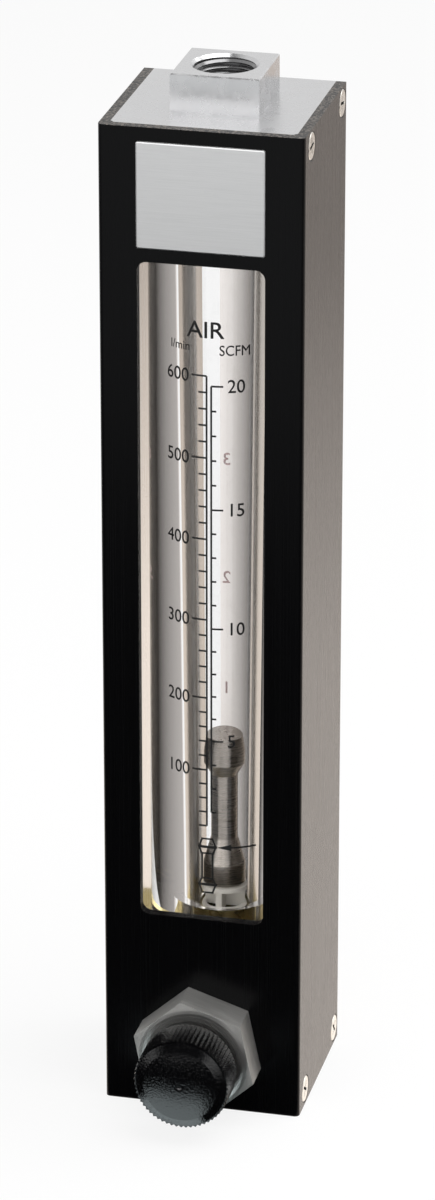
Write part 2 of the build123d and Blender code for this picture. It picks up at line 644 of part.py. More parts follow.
PIECES = {
    "housing": housing(),
    "name_plate": name_plate(),
    "upper_block": upper_block(),
    "lower_block": lower_block(),
    "metering_tube": metering_tube(),
    "tube_gasket_lower": tube_gasket(LOWER_SPIGOT_RADIUS, LOWER_BLOCK_HEIGHT),
    "tube_gasket_upper": tube_gasket(UPPER_SPIGOT_RADIUS, TUBE_HIGH),
    "tube_oring_lower": tube_oring(LOWER_SPIGOT_RADIUS, oring_level(LOWER_BLOCK_HEIGHT, LOWER_SPIGOT_HEIGHT)),
    "tube_oring_upper": tube_oring(UPPER_SPIGOT_RADIUS, oring_level(UPPER_BLOCK_Z, -UPPER_SPIGOT_HEIGHT)),
    "float_stop_lower": float_stop(LOWER_PASSAGE_RADIUS, LOWER_STOP_FOOT, LOWER_STOP_HEIGHT),
    "float_stop_upper": float_stop(UPPER_PASSAGE_RADIUS, UPPER_SPIGOT_END, STOP_THICKNESS),
    "float": float_body(),
    "valve_seat": valve_seat(),
    "bonnet": bonnet(),
    "bonnet_oring": bonnet_oring(),
    "needle": needle(),
    "spindle": spindle(),
    "packing_washer": packing_washer(),
    "stem_oring": stem_oring(),
    "gland_nut": gland_nut(),
    "knob": knob(),
    "set_screw": set_screw(),
    "side_screws": side_screws(),
}

os.makedirs("parts", exist_ok=True)
for name, piece in PIECES.items():
    export_step(piece, f"parts/{name}.step")
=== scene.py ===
import math
from typing import NamedTuple

import bmesh
import bpy
from bpy.props import FloatProperty, FloatVectorProperty, IntProperty, PointerProperty
from bpy.types import Operator, Panel, PropertyGroup
from mathutils import Matrix, Vector


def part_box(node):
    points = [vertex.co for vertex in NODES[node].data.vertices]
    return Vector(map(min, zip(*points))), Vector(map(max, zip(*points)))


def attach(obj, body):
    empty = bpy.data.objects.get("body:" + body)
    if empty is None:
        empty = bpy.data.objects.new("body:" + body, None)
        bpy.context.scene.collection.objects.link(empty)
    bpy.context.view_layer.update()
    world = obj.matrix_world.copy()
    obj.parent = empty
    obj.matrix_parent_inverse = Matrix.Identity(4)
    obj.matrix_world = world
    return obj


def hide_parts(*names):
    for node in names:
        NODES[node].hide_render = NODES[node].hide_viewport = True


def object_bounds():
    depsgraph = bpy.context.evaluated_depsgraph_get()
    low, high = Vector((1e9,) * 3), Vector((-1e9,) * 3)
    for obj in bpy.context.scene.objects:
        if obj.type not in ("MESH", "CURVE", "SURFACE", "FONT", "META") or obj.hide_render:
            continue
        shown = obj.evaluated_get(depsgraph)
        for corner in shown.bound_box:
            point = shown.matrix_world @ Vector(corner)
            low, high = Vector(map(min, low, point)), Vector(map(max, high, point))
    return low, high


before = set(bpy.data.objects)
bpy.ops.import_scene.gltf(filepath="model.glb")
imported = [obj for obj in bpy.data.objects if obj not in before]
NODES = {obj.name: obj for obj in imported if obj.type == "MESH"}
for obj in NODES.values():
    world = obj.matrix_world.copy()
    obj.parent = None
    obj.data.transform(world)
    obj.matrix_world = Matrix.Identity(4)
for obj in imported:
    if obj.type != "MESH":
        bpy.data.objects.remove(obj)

bl_info = {
    "name": "Flow meter pieces",
    "version": (1, 0, 0),
    "blender": (4, 5, 0),
    "location": "3D View > Sidebar > Flow meter",
    "description": "Builds the looks of a variable-area flow meter round its packed frame",
    "category": "Object",
}

CAD_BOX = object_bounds()
MM = 0.001
WELD = 0.001 * MM
PLAY = 0.05 * MM
SHARP_ANGLE = math.radians(32)
CRISP_ANGLE = math.radians(15)

# Places read from the frame
HOUSING_LOW, HOUSING_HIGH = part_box("housing")
TUBE_LOW, TUBE_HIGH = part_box("metering_tube")
BOSS_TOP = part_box("upper_block")[1].z
KNOB_LOW, KNOB_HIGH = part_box("knob")
VALVE_Z = (KNOB_LOW.z + KNOB_HIGH.z) / 2


def linear(code):
    """An sRGB hex colour as linear RGBA."""
    values = [int(code[i : i + 2], 16) / 255 for i in (1, 3, 5)]
    return [v / 12.92 if v <= 0.04045 else ((v + 0.055) / 1.055) ** 2.4 for v in values] + [1.0]


def length(name, description, default):
    """A length that a user can change, in metres."""
    return FloatProperty(name=name, description=description, default=default, unit="LENGTH", precision=5)


def colour(name, description, code):
    """A colour that a user can change."""
    return FloatVectorProperty(
        name=name, description=description, default=linear(code), size=4, subtype="COLOR", min=0, max=1
    )


class MeterSizes(PropertyGroup):
    """Sizes of the pieces that are made here."""

    tube_steps: IntProperty(name="Tube steps", description="Flats round the tube", default=160, min=24)
    tube_edge: length("Tube edge", "Chamfer on the tube's ends", 0.6 * MM)
    bore_low: length("Lower bore", "Radius of the tapered bore at its lower end", 8.2 * MM)
    bore_high: length("Upper bore", "Radius of the tapered bore at its upper end", 10.0 * MM)
    counterbore_low: length("Lower counterbore", "Radius of the tube's lower socket", 10.3 * MM)
    counterbore_high: length("Upper counterbore", "Radius of the tube's upper socket", 12.4 * MM)
    counterbore_low_depth: length("Lower socket depth", "Tube's end to the shoulder", 14.7 * MM)
    counterbore_high_depth: length("Upper socket depth", "Tube's end to the shoulder", 8.6 * MM)
    print_lift: length("Print lift", "Print above the tube's surface", 0.04 * MM)
    print_line: length("Line width", "Width of the scale's lines", 0.62 * MM)
    mark_line: length("Mark line", "Width of the float mark's lines", 0.6 * MM)
    digit_height: length("Digit height", "Height of the scale's numbers", 4.3 * MM)
    rear_digit_height: length("Rear digit height", "Height of the numbers on the tube's rear", 4.1 * MM)
    wall: length("Wall", "Thickness of the channel's walls", 3.2 * MM)
    bonnet_flats: length("Bonnet flats", "Across the flats of the bonnet's hexagon", 35.7 * MM)
    plate_bevel: length("Plate bevel", "Bevel on the plate's front edges", 0.45 * MM)
    plate_corner: length("Plate corner", "Radius of the plate's corners", 0.8 * MM)
    port_radius: length("Port radius", "Root of the port's thread", 9.62 * MM)
    port_mouth: length("Port mouth", "Depth of the port's chamfer", 1.0 * MM)
    port_depth: length("Port depth", "Threaded depth of a port", 12.0 * MM)
    thread_pitch: length("Thread pitch", "Pitch of the port's thread", 1.81 * MM)
    thread_depth: length("Thread depth", "Depth of the port's thread", 0.8 * MM)
    screw_head: length("Screw head", "Radius of a side screw's head", 4.35 * MM)
    screw_shank: length("Screw shank", "Radius of a side screw's shank", 2.4 * MM)
    screw_length: length("Screw length", "Length of a side screw", 14.0 * MM)
    screw_end: length("Screw end inset", "Housing's ends to the screws", 5.3 * MM)
    screw_front: length("Screw front inset", "Housing's front to the nearer screws", 9.8 * MM)
    screw_back: length("Screw back inset", "Housing's back to the other screws", 5.1 * MM)
    recess_depth: length("Recess depth", "Depth of a screw's cross recess", 1.6 * MM)
    recess_reach: length("Recess reach", "Middle of a screw to the end of the cross", 2.7 * MM)
    recess_half: length("Recess half width", "Half the width of the cross", 0.48 * MM)


class MeterColours(PropertyGroup):
    """Colours of the finishes."""

    anodised: colour("Anodised black", "Black anodised aluminium of the housing", "#050506")
    # Painted sheen: this colour paints lighter streaks along the drawing lines on the channel's sides, in
    # place of the light they catch; the lines themselves are real.
    worn: colour("Worn lines", "Drawing lines on the channel's sides", "#403b38")
    # Painted light from above: this colour paints lighter specks on the channel's top ends; the saw's marks
    # under them are real.
    sawn: colour("Sawn ends", "Speckles on the channel's sawn ends", "#6a635c")
    plate: colour("Plate", "Brushed aluminium of the name plate", "#d8d8d8")
    block: colour("Block", "Milled aluminium of the outlet block", "#c6c6c7")
    inlet_block: colour("Inlet block", "Yellow-chromated aluminium of the inlet block", "#c8b780")
    inner_wall: colour("Inner wall", "Bare aluminium inside the channel", "#b3afaa")
    rear_ink: colour("Rear ink", "Faded red print on the tube's rear", "#bfa3a2")
    steel: colour("Steel", "Turned steel of the valve", "#d4d3d0")
    float_steel: colour("Float steel", "Turned steel of the float", "#a19a93")
    screw: colour("Screw steel", "Plated steel of the screws", "#cfccc6")
    knob: colour("Knob", "Moulded black plastic", "#070708")
    rubber: colour("Rubber", "Black seals", "#141414")
    white: colour("White plastic", "Stops, seat and washer", "#e6e2da")
    ink: colour("Ink", "Black print on the tube", "#0b0b0c")
    floor: colour("Floor", "Pale floor", "#f4f4f4")


def angle(name, description, degrees):
    """An angle that a user can change."""
    return FloatProperty(name=name, description=description, default=math.radians(degrees), subtype="ANGLE")


def power(name, description, default):
    """A lamp's power that a user can change, in watts."""
    return FloatProperty(name=name, description=description, default=default, min=0, unit="POWER")


class StageSettings(PropertyGroup):
    """How the stage is lit."""

    front_power: power("Front lamp", "Soft lamp in front and to the left", 12)
    side_power: power("Side lamp", "Soft lamp behind and to the right", 7)
    top_power: power("Top lamp", "Soft lamp above", 20)
    surround: FloatProperty(name="Surround", description="Even light from all round", default=0.45, min=0)
    floor_whiteness: FloatProperty(
        name="Floor whiteness",
        description="Share of plain white in what the eye sees of the floor",
        default=0.85,
        min=0,
        max=1,
        subtype="FACTOR",
    )


class CameraSettings(PropertyGroup):
    """Where the photograph was taken from."""

    azimuth: angle("Azimuth", "Round to the right of the front", 13.35)
    elevation: angle("Elevation", "Above the horizon", 22.81)
    distance: length("Distance", "From the point aimed at", 1704.2 * MM)
    aim: FloatVectorProperty(
        name="Aim",
        description="Point aimed at",
        default=(-2.2 * MM, -0.5 * MM, 164.6 * MM),
        subtype="TRANSLATION",
    )
    lens: FloatProperty(name="Lens", description="Focal length in millimetres", default=161.3, min=1)


# Materials

# Most of a noise pattern's values lie between these.
MOTTLE = {"From Min": 0.3, "From Max": 0.7}


def feed(tree, node, inputs):
    """Sets a node's inputs by name or place. Each takes a value, a socket, or a node's first output."""
    opened = [socket for socket in node.inputs if socket.enabled]
    for key, value in inputs.items():
        socket = opened[key] if isinstance(key, int) else next(item for item in opened if item.name == key)
        if isinstance(value, bpy.types.Node):
            value = next(item for item in value.outputs if item.enabled)
        if isinstance(value, bpy.types.NodeSocket):
            tree.links.new(value, socket)
        else:
            socket.default_value = value


def add_node(tree, kind, inputs=None, **settings):
    """Adds one shader node with its settings, and feeds its inputs."""
    node = tree.nodes.new(kind)
    for name, value in settings.items():
        setattr(node, name, value)
    feed(tree, node, inputs or {})
    return node


def new_material(name, **principled):
    """A material with a Principled shader. Returns its node tree and shader too."""
    material = bpy.data.materials.new(name)
    material.use_nodes = True
    tree = material.node_tree
    tree.nodes.clear()
    inputs = {key.replace("_", " ").title().replace("Ior", "IOR"): value for key, value in principled.items()}
    shader = add_node(tree, "ShaderNodeBsdfPrincipled", inputs)
    add_node(tree, "ShaderNodeOutputMaterial", {"Surface": shader})
    return material, tree, shader


def mix_surface(tree, share, shader, other):
    """Puts a mix of two shaders at a material's output."""
    mix = add_node(tree, "ShaderNodeMixShader", {0: share, 1: shader, 2: other})
    output = next(node for node in tree.nodes if node.type == "OUTPUT_MATERIAL")
    feed(tree, output, {"Surface": mix})


def object_axes(tree):
    """Places along X, Y and Z on the object."""
    place = add_node(tree, "ShaderNodeTexCoord").outputs["Object"]
    return add_node(tree, "ShaderNodeSeparateXYZ", {"Vector": place}).outputs


def grain(tree, size, detail=3.0, roughness=0.5):
    """A mottle whose grain has a real length along each axis of the object."""
    place = add_node(tree, "ShaderNodeTexCoord").outputs["Object"]
    scaled = add_node(tree, "ShaderNodeMapping", {"Vector": place, "Scale": [1 / step for step in size]})
    inputs = {"Vector": scaled, "Scale": 1.0, "Detail": detail, "Roughness": roughness}
    return add_node(tree, "ShaderNodeTexNoise", inputs)


def shaded(value, factor):
    """A colour made lighter or darker by a factor."""
    return [min(1.0, channel * factor) for channel in value[:3]] + [1.0]


def layered(tree, skin, *coats):
    """A colour with others laid over it, each as far as its mask goes from 0 to 1."""
    for mask, coat in coats:
        skin = add_node(tree, "ShaderNodeMix", {0: mask, 1: skin, 2: coat}, data_type="RGBA")
    return skin


def vary(tree, shader, pattern, tones=None, roughness=None, depth=None):
    """Lets one pattern vary a finish: from one tone to another, over a range of roughness, and in relief."""
    if tones:
        feed(tree, shader, {"Base Color": layered(tree, tones[0], (pattern, tones[1]))})
    if roughness:
        shine = {"Value": pattern, **MOTTLE, "To Min": roughness[0], "To Max": roughness[1]}
        feed(tree, shader, {"Roughness": add_node(tree, "ShaderNodeMapRange", shine)})
    if depth:
        relief = {"Height": pattern, "Distance": depth, "Strength": 1.0}
        feed(tree, shader, {"Normal": add_node(tree, "ShaderNodeBump", relief)})


def anodised_extrusion():
    """Black anodised outside, bare inside: the drawing lines up the channel are painted as lighter streaks on
    the sides, a painted sheen in place of the light they catch at a low angle.

    The lines and the saw's specks on the ends are finer than this on the real one, and are widened to show.
    The specks on the top ends are painted lighter, partly as painted light from above.
    """
    material, tree, shader = new_material("black_anodised_extrusion", ior=1.2)
    colours = bpy.context.scene.meter_colours
    wall = bpy.context.scene.meter_sizes.wall
    streaks = grain(tree, (0.5 * MM, 0.5 * MM, 90 * MM), 6.0, 0.8)
    specks = grain(tree, (0.9 * MM,) * 3, 5.0, 0.75)
    lines = add_node(tree, "ShaderNodeMapRange", {"Value": streaks, "From Min": 0.4, "From Max": 0.6})
    # Specks on the top ends: partly saw marks, partly painted light from above.
    nicks_and_lit_specks = add_node(tree, "ShaderNodeMapRange", {"Value": specks, "From Min": 0.46, "From Max": 0.62})
    x, y, z = object_axes(tree)
    out = add_node(tree, "ShaderNodeMath", {0: x}, operation="ABSOLUTE")
    side = add_node(tree, "ShaderNodeMath", {0: out, 1: HOUSING_HIGH.x - PLAY}, operation="GREATER_THAN")
    top = add_node(tree, "ShaderNodeMath", {0: z, 1: HOUSING_HIGH.z - PLAY}, operation="GREATER_THAN")
    inner_x, inner_y = HOUSING_HIGH.x - wall + PLAY, HOUSING_LOW.y + wall - PLAY
    between = add_node(tree, "ShaderNodeMath", {0: out, 1: inner_x}, operation="LESS_THAN")
    behind = add_node(tree, "ShaderNodeMath", {0: y, 1: inner_y}, operation="GREATER_THAN")
    inside = add_node(tree, "ShaderNodeMath", {0: between, 1: behind}, operation="MULTIPLY")
    # Painted sheen: lighter streaks along the drawing lines, on the sides only.
    drawn = layered(tree, colours.anodised, (lines, colours.worn))
    # Painted light from above: lighter specks on the top ends only.
    sawn = layered(tree, colours.anodised, (nicks_and_lit_specks, colours.sawn))
    skin = layered(tree, colours.anodised, (side, drawn), (top, sawn), (inside, colours.inner_wall))
    feed(tree, shader, {"Base Color": skin, "Metallic": inside})
    vary(tree, shader, streaks, roughness=(0.16, 0.32), depth=0.05 * MM)
    return material


def brushed_plate():
    """Brushed sheet aluminium: level scratches, drawn coarser so that they show, spread a broad sheen."""
    material, tree, shader = new_material("brushed_aluminium_sheet", metallic=1.0)
    base = bpy.context.scene.meter_colours.plate
    scratches = grain(tree, (14 * MM, 14 * MM, 0.2 * MM), 4.0, 0.7)
    tones = (shaded(base, 0.78), shaded(base, 1.06))
    vary(tree, shader, scratches, tones, roughness=(0.3, 0.5), depth=0.006 * MM)
    return material


def milled_block(name, base, cutter_lines):
    """Milled aluminium: a satin face with faint cutter lines and slow changes of tone, and painted shade that
    makes the ports dark.
    """
    material, tree, shader = new_material(name, metallic=1.0)
    clouds = grain(tree, (6 * MM,) * 3, 2.0, 0.6)
    x, y, _ = object_axes(tree)
    level = add_node(tree, "ShaderNodeCombineXYZ", {"X": x, "Y": y})
    reach = add_node(tree, "ShaderNodeVectorMath", {0: level}, operation="LENGTH")
    radius = bpy.context.scene.meter_sizes.port_radius
    # Painted shade: inside the ports the metal is drawn at about a third of its tone.
    port_painted_shade = add_node(tree, "ShaderNodeMath", {0: reach, 1: radius + PLAY}, operation="LESS_THAN")
    skin = layered(tree, shaded(base, 0.9), (clouds, shaded(base, 1.05)), (port_painted_shade, shaded(base, 0.35)))
    feed(tree, shader, {"Base Color": skin})
    vary(tree, shader, clouds, roughness=(0.2, 0.36))
    vary(tree, shader, grain(tree, cutter_lines, 3.0, 0.6), depth=0.006 * MM)
    return material


def turned_metal(name, base, feed_marks, roughness, depth):
    """Turned metal: fine rings round the axis, which stretch each highlight across them."""
    material, tree, shader = new_material(name, metallic=1.0)
    blotches = grain(tree, (3 * MM,) * 3, 2.0)
    vary(tree, shader, blotches, (shaded(base, 0.88), shaded(base, 1.05)))
    vary(tree, shader, grain(tree, feed_marks, 3.0, 0.6), roughness=roughness, depth=depth)
    return material


def plated_screw(base):
    """Plated steel: bright, a little uneven heads, with painted shade that makes everything below the head's
    face nearly black, the cross recesses too.
    """
    material, tree, shader = new_material("plated_screw_steel", metallic=1.0)
    blotches = grain(tree, (0.7 * MM,) * 3, 3.0)
    out = add_node(tree, "ShaderNodeMath", {0: object_axes(tree)["X"]}, operation="ABSOLUTE")
    below_head = HOUSING_HIGH.x - 4 * PLAY
    # Painted shade: below the head's face, in the cross recesses, the steel is drawn nearly black.
    recess_painted_shade = add_node(tree, "ShaderNodeMath", {0: out, 1: below_head}, operation="LESS_THAN")
    skin = layered(tree, shaded(base, 0.8), (blotches, shaded(base, 1.1)), (recess_painted_shade, shaded(base, 0.04)))
    feed(tree, shader, {"Base Color": skin})
    vary(tree, shader, blotches, roughness=(0.2, 0.36), depth=0.01 * MM)
    return material


def hexagon_steel(base):
    """Bar steel of the bonnet: a face turned in rings, and drawn flats that hold a broad grey sheen."""
    material, tree, shader = new_material("drawn_hexagon_steel", metallic=1.0)
    half_flats = bpy.context.scene.meter_sizes.bonnet_flats / 2
    feed_mark = 0.16 * MM
    x, _, z = object_axes(tree)
    up = add_node(tree, "ShaderNodeMath", {0: z, 1: VALVE_Z}, operation="SUBTRACT")
    off_axis = add_node(tree, "ShaderNodeCombineXYZ", {"X": x, "Y": up})
    reach = add_node(tree, "ShaderNodeVectorMath", {0: off_axis}, operation="LENGTH")
    flats = add_node(tree, "ShaderNodeMath", {0: reach, 1: half_flats - PLAY}, operation="GREATER_THAN")
    turns = add_node(tree, "ShaderNodeMath", {0: reach, 1: feed_mark}, operation="DIVIDE")
    rings = add_node(tree, "ShaderNodeTexNoise", {"W": turns, "Scale": 1.0}, noise_dimensions="1D")
    drawn = grain(tree, (12 * MM, 0.5 * MM, 12 * MM), 5.0, 0.75)
    marks = add_node(tree, "ShaderNodeMix", {0: flats, 1: rings, 2: drawn})
    smooth = add_node(tree, "ShaderNodeMapRange", {"Value": marks, **MOTTLE, "To Min": 0.26, "To Max": 0.42})
    rough = add_node(tree, "ShaderNodeMapRange", {"Value": marks, **MOTTLE, "To Min": 0.44, "To Max": 0.6})
    feed(tree, shader, {"Roughness": add_node(tree, "ShaderNodeMix", {0: flats, 1: smooth, 2: rough})})
    vary(tree, shader, marks, (shaded(base, 0.6), shaded(base, 1.25)), depth=0.04 * MM)
    return material


def clear_tube():
    """Clear acrylic: refracts what is behind it, with a faint surface haze, and lets lamplight through."""
    white = linear("#ffffff")
    material, tree, shader = new_material(
        "polished_clear_acrylic", base_color=white, transmission_weight=1.0, ior=1.49
    )
    haze = grain(tree, (7 * MM, 7 * MM, 25 * MM), 3.0)
    vary(tree, shader, haze, roughness=(0.0, 0.03))
    path = add_node(tree, "ShaderNodeLightPath")
    open_to_lamps = add_node(tree, "ShaderNodeBsdfTransparent", {"Color": linear("#f4f3f2")})
    mix_surface(tree, path.outputs["Is Shadow Ray"], shader, open_to_lamps)
    return material


def moulded_knob():
    """Moulded black plastic: a deep gloss broken by a fine spark grain, drawn coarser so that it shows."""
    base = bpy.context.scene.meter_colours.knob
    material, tree, shader = new_material("moulded_black_phenolic", base_color=base, ior=1.6)
    vary(tree, shader, grain(tree, (0.65 * MM,) * 3, 2.0, 0.6), roughness=(0.05, 0.14), depth=0.13 * MM)
    return material


def seal_rubber():
    """Moulded rubber: matt black with a dusty bloom in patches."""
    material, tree, shader = new_material("moulded_nitrile_rubber")
    base = bpy.context.scene.meter_colours.rubber
    bloom = grain(tree, (1.2 * MM,) * 3, 4.0)
    vary(tree, shader, bloom, (base, shaded(base, 1.9)), roughness=(0.5, 0.8), depth=0.02 * MM)
    return material


def machined_white():
    """Machined white fluoropolymer: waxy, with faint turning marks."""
    material, tree, shader = new_material(
        "machined_white_fluoropolymer", subsurface_weight=0.1, subsurface_radius=(1 * MM,) * 3
    )
    base = bpy.context.scene.meter_colours.white
    marks = grain(tree, (0.4 * MM, 0.4 * MM, 0.15 * MM), 2.0)
    vary(tree, shader, marks, (shaded(base, 0.93), base), roughness=(0.35, 0.55), depth=0.01 * MM)
    return material


def scale_ink(name, base):
    """Screen-printed ink: nearly flat, a little uneven in its tone and shine."""
    material, tree, shader = new_material(name)
    patches = grain(tree, (0.5 * MM,) * 3, 3.0)
    vary(tree, shader, patches, (base, shaded(base, 1.6)), roughness=(0.45, 0.7))
    return material


# Mesh helpers

THREAD_STEPS = 60
THREAD_FLANK = 0.4  # each flank's share of the pitch
TO_INLET = Matrix.Translation((0, 0, BOSS_TOP)) @ Matrix.Rotation(math.pi, 4, "X")
BEVEL = {"profile": 0.5, "affect": "EDGES", "material": -1}
CORNER_STEPS, BEVEL_STEPS = 8, 2


def turned(outline, steps, closed=True):
    """A bmesh turned about Z from an outline of (radius, height) points, closed or from axis to axis."""
    bm = bmesh.new()
    verts = [bm.verts.new((radius, 0, height)) for radius, height in outline]
    edges = [bm.edges.new(pair) for pair in zip(verts, verts[1:])]
    if closed:
        edges.append(bm.edges.new((verts[-1], verts[0])))
    bmesh.ops.spin(
        bm, geom=verts + edges, cent=(0, 0, 0), axis=(0, 0, 1), angle=math.tau, steps=steps, use_merge=True
    )
    return bm


def merge_into(bm, other, matrix=Matrix.Identity(4)):
    """Adds another bmesh, placed by a matrix, and frees it."""
    bmesh.ops.transform(other, matrix=matrix, verts=other.verts)
    mesh = bpy.data.meshes.new("join")
    other.to_mesh(mesh)
    other.free()
    bm.from_mesh(mesh)
    bpy.data.meshes.remove(mesh)


def add_piece(name, bm, material, body="body", replaces=(), flat=False, crease=SHARP_ANGLE):
    """Turns a finished bmesh into a piece that rides on a body."""
    bmesh.ops.remove_doubles(bm, verts=bm.verts, dist=WELD)
    if not flat:
        bmesh.ops.recalc_face_normals(bm, faces=bm.faces)
    for face in bm.faces:
        face.smooth = not flat
    for edge in bm.edges:
        if edge.is_manifold and edge.calc_face_angle() > crease:
            edge.smooth = False
    mesh = bpy.data.meshes.new(name)
    bm.to_mesh(mesh)
    bm.free()
    piece = bpy.data.objects.new(name, mesh)
    bpy.context.scene.collection.objects.link(piece)
    mesh.materials.append(material)
    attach(piece, body)
    if replaces:
        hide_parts(*replaces)


def dress(material, *nodes):
    """Gives CAD nodes a material."""
    for name in nodes:
        mesh = NODES[name].data
        mesh.materials.clear()
        mesh.materials.append(material)


def box_bm(x, y, z):
    """A box from ranges along each axis."""
    bm = bmesh.new()
    bmesh.ops.create_cube(bm, size=1)
    size = Vector((x[1] - x[0], y[1] - y[0], z[1] - z[0]))
    bmesh.ops.scale(bm, vec=size, verts=bm.verts)
    bmesh.ops.translate(bm, vec=((x[0] + x[1]) / 2, (y[0] + y[1]) / 2, (z[0] + z[1]) / 2), verts=bm.verts)
    return bm


class METER_OT_housing(Operator):
    """Dress the channel and its name plate"""

    bl_idname = "meter.housing"
    bl_label = "Housing"

    def execute(self, context):
        dress(anodised_extrusion(), "housing")
        add_piece(
            "bare_plate",
            bevelled_plate(context.scene.meter_sizes),
            brushed_plate(),
            replaces=("name_plate",),
            crease=CRISP_ANGLE,
        )
        return {"FINISHED"}


def bevelled_plate(sizes):
    """The name plate, bare: rounded corners and bevelled front edges."""
    low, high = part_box("name_plate")
    bm = box_bm((low.x, high.x), (low.y, high.y), (low.z, high.z))
    corners = [edge for edge in bm.edges if abs(edge.verts[0].co.y - edge.verts[1].co.y) > PLAY]
    bmesh.ops.bevel(bm, geom=corners, offset=sizes.plate_corner, segments=CORNER_STEPS, **BEVEL)
    face = min(bm.faces, key=lambda item: item.calc_center_median().y)
    bmesh.ops.bevel(bm, geom=face.edges[:], offset=sizes.plate_bevel, segments=BEVEL_STEPS, **BEVEL)
    return bm


def port_thread(sizes):
    """The thread's ridge, wound down from the outlet port's mouth."""
    bm = bmesh.new()
    top = BOSS_TOP - sizes.port_mouth
    root, pitch = sizes.port_radius, sizes.thread_pitch
    crest, flank = root - sizes.thread_depth, pitch * THREAD_FLANK
    outline = ((root, top), (crest, top - flank), (crest, top - pitch + flank), (root, top - pitch))
    verts = [bm.verts.new((radius, 0, height)) for radius, height in outline]
    edges = [bm.edges.new(pair) for pair in zip(verts, verts[1:])]
    turns = int(sizes.port_depth / pitch)
    bmesh.ops.spin(
        bm,
        geom=verts + edges,
        cent=(0, 0, 0),
        axis=(0, 0, 1),
        dvec=(0, 0, -pitch / THREAD_STEPS),
        angle=math.tau * turns,
        steps=THREAD_STEPS * turns,
        use_merge=False,
    )
    return bm


class METER_OT_blocks(Operator):
    """Dress the end blocks with their seals and stops, and wind the ports' threads"""

    bl_idname = "meter.blocks"
    bl_label = "End blocks"

    def execute(self, context):
        sizes, colours = context.scene.meter_sizes, context.scene.meter_colours
        outlet = milled_block("milled_aluminium", colours.block, (0.22 * MM, 14 * MM, 14 * MM))
        inlet = milled_block("chromated_aluminium", colours.inlet_block, (0.7 * MM, 9 * MM, 9 * MM))
        dress(outlet, "upper_block")
        dress(inlet, "lower_block")
        bm = port_thread(sizes)
        merge_into(bm, port_thread(sizes), TO_INLET)
        add_piece("port_threads", bm, outlet)
        dress(seal_rubber(), "tube_oring_lower", "tube_oring_upper", "bonnet_oring", "stem_oring")
        white = machined_white()
        dress(white, "tube_gasket_lower", "tube_gasket_upper", "float_stop_lower", "float_stop_upper")
        dress(white, "valve_seat", "packing_washer")
        return {"FINISHED"}


class METER_OT_tube(Operator):
    """Turn the clear tube with its tapered bore"""

    bl_idname = "meter.tube"
    bl_label = "Metering tube"

    def execute(self, context):
        sizes = context.scene.meter_sizes
        low, high, radius = TUBE_LOW.z, TUBE_HIGH.z, TUBE_HIGH.x
        edge = sizes.tube_edge
        outline = (
            (sizes.counterbore_low, low),
            (radius - edge, low),
            (radius, low + edge),
            (radius, high - edge),
            (radius - edge, high),
            (sizes.counterbore_high, high),
            (sizes.counterbore_high, high - sizes.counterbore_high_depth),
            (sizes.bore_high, high - sizes.counterbore_high_depth),
            (sizes.bore_low, low + sizes.counterbore_low_depth),
            (sizes.counterbore_low, low + sizes.counterbore_low_depth),
        )
        bm = turned(outline, sizes.tube_steps)
        add_piece("clear_tube", bm, clear_tube(), replaces=("metering_tube",))
        return {"FINISHED"}


# Printed scale


class FlowScale(NamedTuple):
    """One scale. Marks give heights above the floor in millimetres. Places are degrees right of the front.

    Drop is how far a number's base line lies below its tick, as a share of the number's height.
    """

    marks: dict
    values: range
    long_every: int
    line: float
    short_end: float
    long_end: float
    numbers: float
    numbers_side: str
    drop: float


class Heading(NamedTuple):
    """Words over the scales: their size against the numbers, and their place and width as for a scale."""

    words: str
    size: float
    place: float
    height: float
    width: float


LEFT_SCALE = FlowScale(
    marks={20: 96.5, 100: 116.0, 200: 140.9, 300: 167.6, 400: 194.8, 500: 221.9, 600: 248.9},
    values=range(20, 601, 20),
    long_every=100,
    line=-0.3,
    short_end=-6.6,
    long_end=-12.0,
    numbers=-14.2,
    numbers_side="RIGHT",
    drop=0.58,
)
RIGHT_SCALE = FlowScale(
    marks={2: 101.3, 5: 126.0, 10: 164.6, 15: 204.7, 20: 245.6},
    values=range(2, 21),
    long_every=5,
    line=3.2,
    short_end=7.0,
    long_end=12.2,
    numbers=15.0,
    numbers_side="LEFT",
    drop=0.48,
)
SCALES = (LEFT_SCALE, RIGHT_SCALE)
HEADINGS = (
    Heading("AIR", size=1.25, place=-1.6, height=261.2, width=1.02),
    Heading("SCFM", size=0.78, place=20.9, height=255.7, width=0.86),
    Heading("l/min", size=0.66, place=-22.0, height=256.6, width=0.9),
)
REAR_MARKS = {1: 128.5, 2: 166.8, 3: 207.1}
REAR_PLACE, REAR_WIDTH = 9.6, 2.1

# The float's sign: the height and half width of each of its rows, and the rows that its stem joins
SIGN_ROWS = ((91.9, 1.7), (89.05, 2.7), (86.8, 1.9), (78.0, 1.8), (75.8, 2.7), (73.0, 1.7))
STEM_ROW = 2
STEM_INSET = 0.2 * MM
WIDE_ROW, HEAVY_LINE = 2 * MM, 1.5

# The arrow at the reading edge: its height, its places in degrees, and half the width of its head
READING_EDGE = 89.0 * MM
ARROW_TIP, ARROW_HEAD, ARROW_TAIL = 7.5, 18.5, 37.5
ARROW_HALF = 1.1 * MM

CAPITAL_SHARE = 0.7
LETTER_WIDTH = 0.93
LETTER_WEIGHT = 0.025
STRIP = 0.6 * MM


def height_at(marks, value):
    """Height of a value on a scale, between the marks that are given."""
    known = sorted(marks)
    above = next(mark for mark in known if mark >= value)
    below = max((mark for mark in known if mark <= value), default=above)
    if above == below:
        return marks[above] * MM
    share = (value - below) / (above - below)
    return (marks[below] + share * (marks[above] - marks[below])) * MM


def flat_box(left, right, low, high):
    """A flat rectangle in the plane of the print, as seen from the front."""
    bm = bmesh.new()
    corners = ((left, low), (right, low), (right, high), (left, high))
    bm.faces.new([bm.verts.new((x, 0, z)) for x, z in corners])
    return bm


